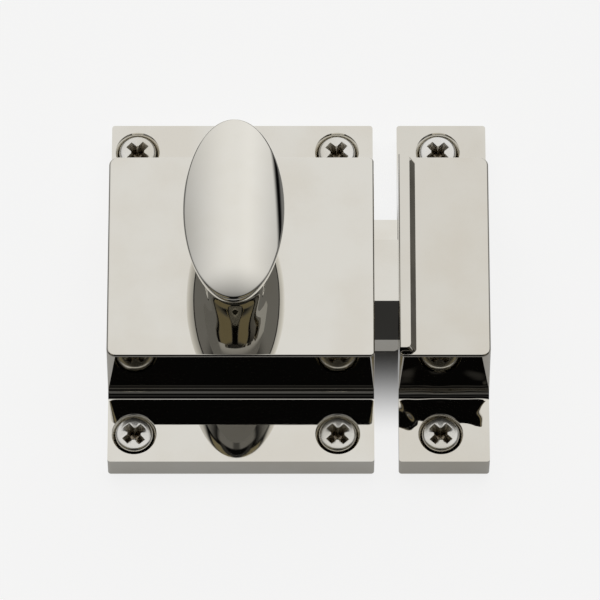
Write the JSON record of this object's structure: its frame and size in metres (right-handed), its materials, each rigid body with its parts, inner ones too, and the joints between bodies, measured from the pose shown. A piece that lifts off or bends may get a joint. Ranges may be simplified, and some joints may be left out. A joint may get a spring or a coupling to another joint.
{
  "type": "cupboard turn latch",
  "caption": "Surface-mounted cupboard turn latch: an oval knob on a flanged case draws a bevelled spring bolt out of a hooded strike with a ramp lip.",
  "frame": {"origin": "where the spindle's axis meets the plane of the back faces", "axes": "+Z out of the door, +X from the knob towards the strike, +Y up the door"},
  "size_m": [0.0638, 0.0636, 0.0486],
  "materials": {
    "polished_nickel": "mirror-polished nickel plate",
    "screw_nickel": "bright nickel-plated steel",
    "plate_steel": "zinc-plated sheet steel",
    "plain_steel": "plain turned steel",
    "brass": "as-cast brass"
  },
  "bodies": {
    "case": {"case": "polished_nickel", "back_plate": "plate_steel", "back_plate_screws": "plain_steel", "bolt_spring": "plain_steel", "strike": "polished_nickel", "case_screws": "screw_nickel", "strike_screws": "screw_nickel"},
    "knob": {"knob": "polished_nickel", "knob_pin": "plain_steel", "spindle": "plain_steel", "follower": "brass"},
    "bolt": {"bolt": "polished_nickel"}
  },
  "joints": [
    {"name": "knob_turn", "type": "hinge", "parent": "case", "child": "knob", "pos_m": [0, 0, 0.018], "axis": [0, 0, -1], "range_deg": [0, 60]},
    {"name": "bolt_slide", "type": "slide", "parent": "case", "child": "bolt", "axis": [-1, 0, 0], "range_m": [0, 0.006], "stiffness_N_per_m": 1350, "springref_m": -0.002, "deforming": ["bolt_spring"]}
  ],
  "couplings": [
    {"joint": "knob_turn", "follows": "bolt_slide", "rad_per_m": 174.53}
  ]
}
